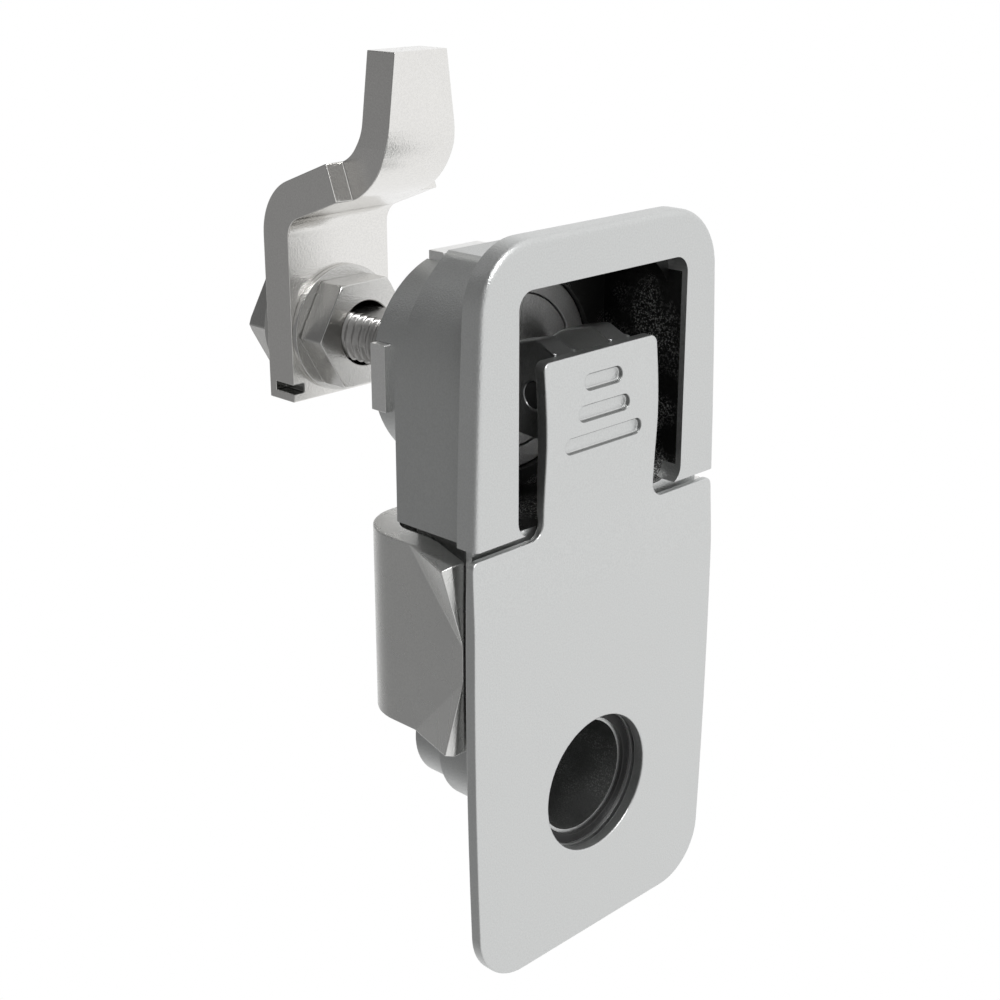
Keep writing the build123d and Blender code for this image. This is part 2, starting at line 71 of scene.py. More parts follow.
# A wall faces less far into the cabinet than this, and turns its back on the middle line
# of its room by less than this many millimetres.
WALL_TILT = 0.3
WALL_MISS_MM = 0.1

# Noise runs from 0 to 1; each span is the part of it that a finish makes use of.
GRAIN_SPAN: Span = (0.38, 0.62)
MOTTLE_SPAN: Span = (0.30, 0.70)
# These two spans place the painted specks of light in the painted shade of the housing's walls.
PAINTED_SPECK_GRAIN_SPAN: Span = (0.52, 0.60)
PAINTED_SPECK_MOTTLE_SPAN: Span = (0.46, 0.60)
GRAIN_DETAIL = 4.0
MOTTLE_DETAIL = 2.0
# How much of the tone comes from the grain; the patches give the rest.
GRAIN_SHARE = 0.5

# Sockets of a Mix node that mixes colours: factor, first and second colour, and the result.
MIX_INPUTS = (0, 6, 7)
MIX_RESULT = 2

log = logging.getLogger("latch")


class Wiring:
    """Short way to write a node tree."""

    def __init__(self, tree: bpy.types.NodeTree) -> None:
        """Takes up a tree.

        Args:
            tree: Tree that the nodes go into.
        """
        self.tree = tree

    def node(self, kind: str, **settings: object) -> bpy.types.Node:
        """Adds a node and sets its properties.

        Args:
            kind: Type name of the node.
            **settings: Properties to set on it.

        Returns:
            The new node.
        """
        made = self.tree.nodes.new(kind)
        for key, value in settings.items():
            setattr(made, key, value)
        return made

    def join(self, value: object, socket: bpy.types.NodeSocket) -> None:
        """Links a socket, or sets a plain value.

        Args:
            value: Socket, number or colour.
            socket: Input that takes it.
        """
        if isinstance(value, bpy.types.NodeSocket):
            self.tree.links.new(value, socket)
        else:
            socket.default_value = value

    def math(self, operation: str, *values: object) -> bpy.types.NodeSocket:
        """Adds a math node.

        Args:
            operation: Its operation.
            *values: Sockets or numbers, in order.

        Returns:
            Its result.
        """
        made = self.node("ShaderNodeMath", operation=operation)
        for value, socket in zip(values, made.inputs):
            self.join(value, socket)
        return made.outputs[0]

    def spread(self, value: bpy.types.NodeSocket, span: Span,
               onto: tuple[object, object] = (0.0, 1.0),
               **settings: object) -> bpy.types.NodeSocket:
        """Maps one span of a value onto another, cut off at both ends.

        Args:
            value: Socket of the value.
            span: Span that it comes from.
            onto: Numbers or sockets at the ends of the span that it goes to.
            **settings: Properties to set on the node.

        Returns:
            The mapped value.
        """
        ramp = self.node("ShaderNodeMapRange", **settings)
        for label, end in zip(("From Min", "From Max", "To Min", "To Max"), (*span, *onto)):
            self.join(end, ramp.inputs[label])
        self.join(value, ramp.inputs["Value"])
        return ramp.outputs["Result"]

    def mix(self, share: object, first: object, second: object) -> bpy.types.NodeSocket:
        """Mixes two colours.

        Args:
            share: How much of the second colour shows.
            first: First colour, or its socket.
            second: Second colour, or its socket.

        Returns:
            The mixed colour.
        """
        made = self.node("ShaderNodeMix", data_type="RGBA")
        for value, port in zip((share, first, second), MIX_INPUTS):
            self.join(value, made.inputs[port])
        return made.outputs[MIX_RESULT]

    def noise(self, label: str) -> bpy.types.NodeSocket:
        """Gives the value of a noise node of the tree by the node's name."""
        return self.tree.nodes[label].outputs["Fac"]


class Edge(Enum):
    """How far an edge is broken, and from which fold on it counts as an edge.

    Each value is a bevel width in millimetres, an angle in degrees, and whether
    the bevels of the whole piece shrink together where two of them would meet.
    """

    CRISP = (0.10, 32.0, True)
    FOLDED = (0.14, 15.0, True)
    SOFT = (0.12, 32.0, True)
    CARVED = (0.20, 40.0, False)
    CAST = (0.20, 50.0, True)


@dataclass(frozen=True)
class Finish:
    """A metal or rubber surface with a fine grain.

    Args:
        name: Name of the material.
        colour: Base colour, linear RGB.
        metallic: Metallic share of the shader.
        rough: Lowest and highest roughness over the surface.
        grain_mm: Size of the fine grain.
        depth_mm: Height of the grain.
        mottle_mm: Size of the broad, faint patches.
        tone: How much darker the patches and grain may make the colour, 0 to 1.
    """

    name: str
    colour: Colour
    metallic: float
    rough: Span
    grain_mm: float = 0.3
    depth_mm: float = 0.01
    mottle_mm: float = 6.0
    tone: float = 0.08

    def base(self, wiring: Wiring) -> bpy.types.NodeSocket:
        """Gives the colour of the surface; a finish of more colours has its own way."""
        return self.toned(wiring, self.colour)

    def toned(self, wiring: Wiring, colour: Colour) -> bpy.types.NodeSocket:
        """Mixes a colour with its darker tone by grain and patches.

        Args:
            wiring: Tree of the material.
            colour: Linear RGB of the light tone.

        Returns:
            The mixed colour.
        """
        dark = [part * (1 - self.tone) for part in colour]
        crisp = wiring.spread(wiring.noise("grain"), GRAIN_SPAN)
        patches = wiring.math("MULTIPLY", wiring.noise("mottle"), 1 - GRAIN_SHARE)
        share = wiring.math("MULTIPLY_ADD", crisp, GRAIN_SHARE, patches)
        return wiring.mix(share, (*dark, 1), (*colour, 1))

    def material(self) -> bpy.types.Material:
        """Builds the material once and returns it.

        Returns:
            The node material of this finish.
        """
        if self.name in bpy.data.materials:
            return bpy.data.materials[self.name]
        mat = bpy.data.materials.new(self.name)
        mat.use_nodes = True
        wiring = Wiring(mat.node_tree)
        shader = mat.node_tree.nodes["Principled BSDF"]
        place = wiring.node("ShaderNodeTexCoord").outputs["Object"]
        for label, size, detail in (("grain", self.grain_mm, GRAIN_DETAIL),
                                    ("mottle", self.mottle_mm, MOTTLE_DETAIL)):
            noise = wiring.node("ShaderNodeTexNoise", name=label)
            noise.inputs["Scale"].default_value = 1 / (size * MM)
            noise.inputs["Detail"].default_value = detail
            wiring.join(place, noise.inputs["Vector"])
        wiring.join(self.base(wiring), shader.inputs["Base Color"])
        wiring.join(wiring.spread(wiring.noise("mottle"), MOTTLE_SPAN, self.rough),
                    shader.inputs["Roughness"])
        bump = wiring.node("ShaderNodeBump")
        bump.inputs["Distance"].default_value = self.depth_mm * MM
        bump.inputs["Strength"].default_value = 1.0
        wiring.join(wiring.noise("grain"), bump.inputs["Height"])
        wiring.join(bump.outputs["Normal"], shader.inputs["Normal"])
        shader.inputs["Metallic"].default_value = self.metallic
        return mat


@dataclass(frozen=True)
class MarkedFinish(Finish):
    """Finish with painted shade, a darker colour, on the faces that carry the painted-shade mark.

    Args:
        painted_shade: Linear RGB of the painted shade on the marked faces.
    """

    # Near-black painted shade, the default for the marked walls.
    painted_shade: Colour = (0.050, 0.051, 0.050)

    def outside(self, wiring: Wiring) -> bpy.types.NodeSocket:
        """Gives the colour of the faces without a mark."""
        return self.toned(wiring, self.colour)

    def marked(self, wiring: Wiring) -> bpy.types.NodeSocket:
        """Gives the painted shade of the faces with a mark."""
        return self.toned(wiring, self.painted_shade)

    def base(self, wiring: Wiring) -> bpy.types.NodeSocket:
        """Chooses between the outer colour and the painted shade by the mark of each face."""
        mark = wiring.node("ShaderNodeAttribute", attribute_name=PAINTED_SHADE_MARK)
        return wiring.mix(mark.outputs["Fac"], self.outside(wiring), self.marked(wiring))


@dataclass(frozen=True)
class CastFinish(MarkedFinish):
    """Satin at the front, darker behind the door, and painted shade with painted specks of light
    on the marked walls.

    Args:
        back: Linear RGB of the casting behind the door.
        change_y_mm: Depth at which the outside grows darker.
        painted_speck: Linear RGB of fine painted specks of light in the painted shade.
    """

    back: Colour = (0.60, 0.61, 0.605)
    change_y_mm: float = 0.02
    # Painted specks of light that stand in for glints on the shaded walls.
    painted_speck: Colour = (0.70, 0.70, 0.69)

    def marked(self, wiring: Wiring) -> bpy.types.NodeSocket:
        """Gives the painted shade of the marked walls, with fine painted specks of light that
        gather in patches.

        Args:
            wiring: Tree of the material.

        Returns:
            The painted shade of the marked faces.
        """
        grain = wiring.spread(wiring.noise("grain"), PAINTED_SPECK_GRAIN_SPAN)
        patches = wiring.spread(wiring.noise("mottle"), PAINTED_SPECK_MOTTLE_SPAN)
        share = wiring.math("MULTIPLY", grain, patches)
        return wiring.mix(share, self.toned(wiring, self.painted_shade), self.toned(wiring, self.painted_speck))

    def outside(self, wiring: Wiring) -> bpy.types.NodeSocket:
        """Chooses the colour of the outer faces by their depth.

        Args:
            wiring: Tree of the material.

        Returns:
            The colour of the faces without a mark.
        """
        split = wiring.node("ShaderNodeSeparateXYZ")
        wiring.join(wiring.node("ShaderNodeTexCoord").outputs["Object"], split.inputs[0])
        behind = wiring.math("GREATER_THAN", split.outputs["Y"], self.change_y_mm * MM)
        return wiring.mix(behind, self.toned(wiring, self.colour), self.toned(wiring, self.back))


# SATIN keeps the default near-black painted shade, for the steep walls of the lever's grip slots.
SATIN = MarkedFinish("satin_front", (0.69, 0.70, 0.695), 0.93, (0.33, 0.39),
                     grain_mm=0.20, depth_mm=0.030, mottle_mm=9.0, tone=0.12)
# CAST keeps the default near-black painted shade, for the walls of the housing's recess and
# bores.
CAST = CastFinish("satin_casting", (0.69, 0.70, 0.695), 0.93, (0.33, 0.40),
                  grain_mm=0.20, depth_mm=0.044, mottle_mm=7.0, tone=0.14)
PLATE = Finish("dull_zinc", (0.93, 0.93, 0.92), 0.95, (0.30, 0.38),
               grain_mm=0.22, depth_mm=0.030, mottle_mm=4.0, tone=0.12)
# The marked colour of BRIGHT is painted shade, for the walls of the cam's nick.
BRIGHT = MarkedFinish("bright_zinc", (0.84, 0.83, 0.81), 1.0, (0.14, 0.20),
                      grain_mm=0.22, depth_mm=0.022, mottle_mm=4.0, tone=0.12,
                      painted_shade=(0.34, 0.34, 0.33))
TURNED = Finish("turned_zinc", (0.70, 0.695, 0.68), 1.0, (0.17, 0.24),
                grain_mm=0.18, depth_mm=0.030, mottle_mm=3.0, tone=0.18)
THREAD = Finish("thread_zinc", (0.42, 0.415, 0.405), 1.0, (0.25, 0.33),
                grain_mm=0.30, depth_mm=0.020, mottle_mm=3.0, tone=0.16)
# Zinc of the rotor and thrust plate, darkened partly as painted shade for the shaded lower half
# of the rotor.
ROTOR_ZINC_AND_SHADE = Finish("rotor_zinc_and_painted_shade", (0.56, 0.56, 0.555), 0.93, (0.30, 0.40),
               grain_mm=0.20, depth_mm=0.050, mottle_mm=4.0, tone=0.24)
SHEET = Finish("bent_sheet", (0.78, 0.78, 0.765), 0.95, (0.24, 0.32),
               grain_mm=0.22, depth_mm=0.030, mottle_mm=5.0, tone=0.12)
HARD = Finish("dark_steel", (0.22, 0.22, 0.22), 0.9, (0.32, 0.45),
              grain_mm=0.3, depth_mm=0.010, mottle_mm=4.0, tone=0.12)
RUBBER = Finish("matt_rubber", (0.012, 0.012, 0.012), 0.0, (0.45, 0.60),
                grain_mm=0.3, depth_mm=0.010, mottle_mm=4.0, tone=0.20)


def new_object(name: str, data: bpy.types.ID) -> bpy.types.Object:
    """Adds an object to the scene.

    Args:
        name: Its name.
        data: Its mesh, lamp or camera.

    Returns:
        The object, at the origin.
    """
    made = bpy.data.objects.new(name, data)
    bpy.context.scene.collection.objects.link(made)
    return made


def dissolve_flat(work: bmesh.types.BMesh) -> None:
    """Joins the faces of a mesh that lie in one plane.

    Args:
        work: Mesh to change.
    """
    bmesh.ops.dissolve_limit(work, angle_limit=FLAT_FOLD, verts=work.verts, edges=work.edges,
                             use_dissolve_boundaries=False, delimit=set())


def merged_copy(node: str) -> bpy.types.Object:
    """Copies the mesh of a solid, joined into whole faces.

    Args:
        node: Name of the solid.

    Returns:
        A new object, not yet riding on a body.
    """
    mesh = bpy.data.meshes.new(f"{node}_dressed")
    work = bmesh.new()
    work.from_mesh(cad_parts[node].data)
    bmesh.ops.remove_doubles(work, verts=work.verts, dist=WELD)
    dissolve_flat(work)
    work.to_mesh(mesh)
    work.free()
    return new_object(f"{node}_dressed", mesh)


def cut_off(work: bmesh.types.BMesh, depth: float, way: int) -> None:
    """Cuts a mesh across at a depth and drops what lies beyond.

    Args:
        work: Mesh to cut.
        depth: Y of the cut.
        way: 1 to drop what lies deeper, -1 to drop what lies in front.
    """
    bmesh.ops.bisect_plane(work, geom=work.verts[:] + work.edges[:] + work.faces[:],
                           plane_co=(0, depth, 0), plane_no=(0, way, 0), clear_outer=True)


def settle(piece: bpy.types.Object) -> None:
    """Turns the modifiers of a piece into plain mesh.

    Args:
        piece: Object whose modifiers are applied.
    """
    evaluated = piece.evaluated_get(bpy.context.evaluated_depsgraph_get())
    mesh = bpy.data.meshes.new_from_object(evaluated)
    piece.modifiers.clear()
    old = piece.data
    piece.data = mesh
    bpy.data.meshes.remove(old)


def break_edges(piece: bpy.types.Object, edge: Edge) -> None:
    """Bevels the sharp edges of a piece and shades it smooth.

    Args:
        piece: Object to finish.
        edge: How its edges are broken.
    """
    width_mm, fold_deg, shrinks = edge.value
    piece.data.shade_smooth()
    piece.data.set_sharp_from_angle(angle=math.radians(fold_deg))
    bevel = piece.modifiers.new("broken_edges", "BEVEL")
    bevel.limit_method = "ANGLE"
    bevel.angle_limit = math.radians(fold_deg)
    bevel.width = width_mm * MM
    bevel.segments = BEVEL_FACETS
    bevel.use_clamp_overlap = shrinks
    bevel.miter_outer = "MITER_ARC"
    bevel.loop_slide = shrinks
    flat = piece.modifiers.new("flat_faces_flat", "WEIGHTED_NORMAL")
    flat.mode = "FACE_AREA"
    flat.weight = LARGE_FACE_WEIGHT
    flat.keep_sharp = True
    settle(piece)


@dataclass(frozen=True)
class Room:
    """Box-shaped space in a piece, in millimetres, whose walls get painted shade.

    Args:
        low: Its lowest corner.
        high: Its highest corner.
        share: How strongly its walls carry painted shade.
    """

    low: Point
    high: Point
    share: float = 1.0

    def holds(self, point: Vector) -> bool:
        """Tells whether a point, given in metres, lies in the room."""
        return all(low <= at / MM <= high for low, at, high in zip(self.low, point, self.high))

    def walls(self, point: Vector, normal: Vector) -> bool:
        """Tells whether a face is one of the walls or the floor of the room.

        Args:
            point: Middle of the face, in metres.
            normal: Way that it faces.

        Returns:
            True where the face lies in the room and looks into it.
        """
        inward = (Vector(self.low) + Vector(self.high)) / 2 - point / MM
        inward.y = 0
        return (self.holds(point) and normal.y < WALL_TILT
                and normal.dot(inward) > -WALL_MISS_MM)


@dataclass(frozen=True)
class Grooves(Room):
    """Room whose steep faces alone get painted shade, as in the grip slots of the lever.

    Args:
        steepest: Largest share of its normal along the depth that a marked face has.
    """

    steepest: float = 0.8

    def walls(self, point: Vector, normal: Vector) -> bool:
        """Tells whether a face in the room is a steep one."""
        return self.holds(point) and abs(normal.y) < self.steepest


def mark_painted_shade(piece: bpy.types.Object, rooms: tuple[Room, ...]) -> None:
    """Marks the faces of a piece that are walls of one of the rooms with the strength of their
    painted shade.

    Args:
        piece: Finished object.
        rooms: Spaces whose walls get painted shade.
    """
    mark = piece.data.attributes.new(PAINTED_SHADE_MARK, "FLOAT", "FACE")
    for face in piece.data.polygons:
        shares = [room.share for room in rooms if room.walls(face.center, face.normal)]
        mark.data[face.index].value = max(shares, default=0.0)


@dataclass(frozen=True)
class RoundedRim:
    """Rounds the outer front edge of the housing evenly, in place of the facets of the solid.

    Args:
        node: Solid of the housing.
        radius: Radius of the rounding, in metres.
        steps: Facets across the rounding.
        reach: Distance from the middle from which on an edge of the outline is an outer one.
        level: Least share along Z of the normal of an edge that counts as level.
    """

    node: str = "housing"
    radius: float = 0.80 * MM
    steps: int = 6
    reach: float = 15.0 * MM
    level: float = 0.99

    def make(self) -> bpy.types.Object:
        """Copies the solid, cut off behind its edge and closed again by rings of the rounding.

        Returns:
            The merged copy with a rounded rim.
        """
        piece = merged_copy(self.node)
        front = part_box(self.node)[0].y
        work = bmesh.new()
        work.from_mesh(piece.data)
        cut_off(work, front + self.radius, -1)
        ring = [line for line in work.edges if line.is_boundary]
        feet = self.inwards(ring)
        inset = 0.0
        for step in range(1, self.steps + 1):
            grown = bmesh.ops.extrude_edge_only(work, edges=ring)["geom"]
            verts = [part for part in grown if isinstance(part, bmesh.types.BMVert)]
            ring = [part for part in grown
                    if isinstance(part, bmesh.types.BMEdge) and part.is_boundary]
            turn = math.pi / 2 * step / self.steps
            before, inset = inset, self.radius * (1 - math.cos(turn))
            for vert in verts:
                foot, way = min(feet, key=lambda item: (item[0] + item[1] * before
                                                        - vert.co.xz).length_squared)
                place = foot + way * inset
                vert.co = (place.x, front + self.radius * (1 - math.sin(turn)), place.y)
        bmesh.ops.holes_fill(work, edges=ring, sides=0)
        bmesh.ops.recalc_face_normals(work, faces=work.faces)
        work.to_mesh(piece.data)
        work.free()
        return piece

    def inwards(self, ring: list[bmesh.types.BMEdge]) -> list[tuple[Vector, Vector]]:
        """Finds for each corner of the outline which way the rounding leads inwards.

        The inner edges of the rim and the level ends of its legs stay square.

        Args:
            ring: Edges of the outline.

        Returns:
            For each corner its place and its way inwards, both in the plane of the front face.
        """
        ways: dict[bmesh.types.BMVert, Vector] = {}
        for line in ring:
            first, second = (vert.co.xz for vert in line.verts)
            middle = (first + second) / 2
            if (second - first).length < FINE_WELD:
                continue
            across = Vector((second.y - first.y, first.x - second.x)).normalized()
            outer = abs(middle.x) > self.reach or middle.y > self.reach
            level = abs(across.y) > self.level and middle.y < self.reach
            for vert in line.verts:
                ways.setdefault(vert, Vector((0, 0)))
                if outer and not level:
                    ways[vert] += across if across.dot(middle) < 0 else -across
        return [(vert.co.xz.copy(), way.normalized() if way.length else way)
                for vert, way in ways.items()]


@dataclass(frozen=True)
class HexNut:
    """Plain nut with corners left and right, lightly chamfered.

    Args:
        node: Solid that it stands for.
        flats: Width over the flats, in metres.
        bore: Radius of the hole.
        round_r: Radius at which the chamfer begins on both faces.
        slope: Depth of the chamfer for each length outwards.
        around: Points round the nut.
    """

    node: str
    flats: float = 13.0 * MM
    bore: float = 4.07 * MM
    round_r: float = 7.12 * MM
    slope: float = 0.6
    around: int = 48

    def section(self, turn: float, front: float, back: float) -> list[tuple[float, float]]:
        """Runs round the section of the nut at one angle.

        Args:
            turn: Angle about the axis.
            front: Depth of the front face.
            back: Depth of the back face.

        Returns:
            Radius and depth of each point, from the front of the bore outwards and back to it.
        """
        side = math.pi / 3
        reach = self.flats / 2 / math.cos(math.fmod(turn, side) - side / 2)
        face = min(reach, self.round_r)
        cut = (reach - face) * self.slope
        return [(self.bore, front), (face, front), (reach, front + cut),
                (reach, back - cut), (face, back), (self.bore, back)]

    def make(self) -> bpy.types.Object:
        """Makes the nut.

        Returns:
            Its object, not yet riding on a body.
        """
        low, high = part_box(self.node)
        turns = [2 * math.pi * step / self.around for step in range(self.around)]
        sections = [self.section(turn, low.y, high.y) for turn in turns]
        work = bmesh.new()
        rings = [[work.verts.new((radius * math.cos(turn), depth, radius * math.sin(turn)))
                  for turn, (radius, depth) in zip(turns, layer)]
                 for layer in zip(*sections)]
        for inner, outer in zip(rings, rings[1:] + rings[:1]):
            for step in range(self.around):
                after = (step + 1) % self.around
                work.faces.new((inner[step], inner[after], outer[after], outer[step]))
        bmesh.ops.remove_doubles(work, verts=work.verts, dist=FINE_WELD)
        bmesh.ops.recalc_face_normals(work, faces=work.faces)
        dissolve_flat(work)
        mesh = bpy.data.meshes.new(f"{self.node}_dressed")
        work.to_mesh(mesh)
        work.free()
        return new_object(f"{self.node}_dressed", mesh)


class MeshTree(Wiring):
    """Geometry node tree with named sizes."""

    def __init__(self, name: str) -> None:
        """Starts a tree that gives out one geometry.

        Args:
            name: Name of the tree.
        """
        super().__init__(bpy.data.node_groups.new(name, "GeometryNodeTree"))
        self.tree.interface.new_socket("Geometry", in_out="OUTPUT",
                                       socket_type="NodeSocketGeometry")
        self.source = self.node("NodeGroupInput")
        self.sink = self.node("NodeGroupOutput")
        self.sizes: dict[str, float] = {}

    def size(self, name: str, value: float) -> bpy.types.NodeSocket:
        """Adds a named size to the tree.

        Args:
            name: Name of the input.
            value: Its value, in metres.

        Returns:
            The socket that carries it.
        """
        item = self.tree.interface.new_socket(name, in_out="INPUT", socket_type="NodeSocketFloat")
        self.sizes[item.identifier] = value
        return self.source.outputs[name]

    def grow(self, name: str) -> bpy.types.Object:
        """Makes a piece from the tree, with its sizes set by their identifiers.

        Args:
            name: Name of the piece.

        Returns:
            The piece as plain mesh.
        """
        piece = new_object(name, bpy.data.meshes.new(name))
        modifier = piece.modifiers.new(name, "NODES")
        modifier.node_group = self.tree
        for identifier, value in self.sizes.items():
            modifier[identifier] = value
        settle(piece)
        return piece


@dataclass
class SubAssembly:
    """Pieces that move as one body.

    Args:
        body: Body that they move with.
    """

    body: str = "frame"

    def dress(self, piece: bpy.types.Object, finish: Finish, slot: str, node: str) -> None:
        """Gives a finished piece its material and body, and hides the solid that it replaces.

        Args:
            piece: Finished object.
            finish: Its surface.
            slot: Material slot of the record; not used.
            node: Solid that it replaces.
        """
        piece.data.materials.clear()
        piece.data.materials.append(finish.material())
        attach(piece, self.body)
        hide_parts(node)
        log.info("dressed %s on %s", piece.name, self.body)

    def add(self, node: str, finish: Finish, slot: str, edge: Edge,
            maker: RoundedRim | HexNut | None = None, rooms: tuple[Room, ...] = ()) -> None:
        """Makes the piece of one solid, with broken edges and a finish.

        Args:
            node: Name of the solid.
            finish: Its surface.
            slot: Material slot of the record.
            edge: How its edges are broken.
            maker: What makes its mesh, where a plain copy of the solid won't do.
            rooms: Spaces whose walls get painted shade.
        """
        piece = maker.make() if maker else merged_copy(node)
        break_edges(piece, edge)
        if rooms:
            mark_painted_shade(piece, rooms)
        self.dress(piece, finish, slot, node)


@dataclass
class HousingAssembly(SubAssembly):
    """Housing with its end plate, the door bracket with its screw, and the lock bore's seal.

    Args:
        rim: Rounding of the housing's front edge.
        recess: Finger recess behind the lever, whose walls get near-black painted shade.
        rotor_bore: Bore of the rotor behind the recess, whose walls get near-black painted shade.
        lock_bore: Bore for a lock insert, whose walls get a partial share of painted shade.
    """

    rim: RoundedRim = RoundedRim()
    recess: Room = Room((-13.9, -0.4, -16.0), (13.9, 9.8, 13.6))
    rotor_bore: Room = Room((-11.6, 9.0, -11.6), (11.6, 19.0, 11.6))
    lock_bore: Room = Room((-8.0, 0.5, -56.0), (8.0, 20.0, -40.0), 0.40)

    def build(self) -> None:
        """Makes what is fixed to the door."""
        self.add("housing", CAST, "housing_zinc", Edge.CAST, self.rim,
                 (self.recess, self.rotor_bore, self.lock_bore))
        self.add("end_plate", PLATE, "plated_steel", Edge.CRISP)
        self.add("bracket", SHEET, "bracket_steel", Edge.FOLDED)
        self.add("bracket_screw", TURNED, "bright_plate", Edge.CRISP)
        self.add("bracket_washer", TURNED, "bright_plate", Edge.CRISP)
        self.add("lock_seal", RUBBER, "black_rubber", Edge.CRISP)


@dataclass
class RotorAssembly(SubAssembly):
    """Rotor with the plate that the lever's lobes push on, and the clip that holds it.

    Args:
        body: Body that they move with.
    """

    body: str = "rotor_group"

    def build(self) -> None:
        """Makes what turns but doesn't slide."""
        self.add("rotor", ROTOR_ZINC_AND_SHADE, "plated_steel", Edge.SOFT)
        self.add("thrust_plate", ROTOR_ZINC_AND_SHADE, "hard_steel", Edge.CRISP)
        self.add("rotor_clip", HARD, "hard_steel", Edge.CRISP)


@dataclass
class ClampedCam(SubAssembly):
    """Cam between two nuts and their washers.

    Args:
        body: Body that they move with.
        nick: Nick in the lower corner of the cam, whose walls get painted shade.
    """

    body: str = "shaft_group"
    nick: Room = Room((-8.3, 41.2, -7.5), (-6.3, 45.1, -6.0))

    def build(self) -> None:
        """Makes the cam and what clamps it."""
        self.add("cam", BRIGHT, "bright_plate", Edge.SOFT, rooms=(self.nick,))
        for node in ("front_nut", "rear_nut"):
            self.add(node, TURNED, "bright_plate", Edge.FOLDED, HexNut(node))
        for node in ("front_washer", "rear_washer"):
            self.add(node, TURNED, "bright_plate", Edge.CRISP)


@dataclass
class Lever(SubAssembly):
    """Flush lever plate with its lobes.

    Args:
        body: Body that it is.
        grip: Three grip slots in its tongue, whose steep walls get painted shade.
    """

    body: str = "lever_group"
    grip: Grooves = Grooves((-6.95, -2.795, -13.6), (6.95, -2.0, 3.45), 0.55)

    def build(self) -> None:
        """Makes the lever."""
        self.add("lever", SATIN, "satin_zinc", Edge.CARVED, rooms=(self.grip,))


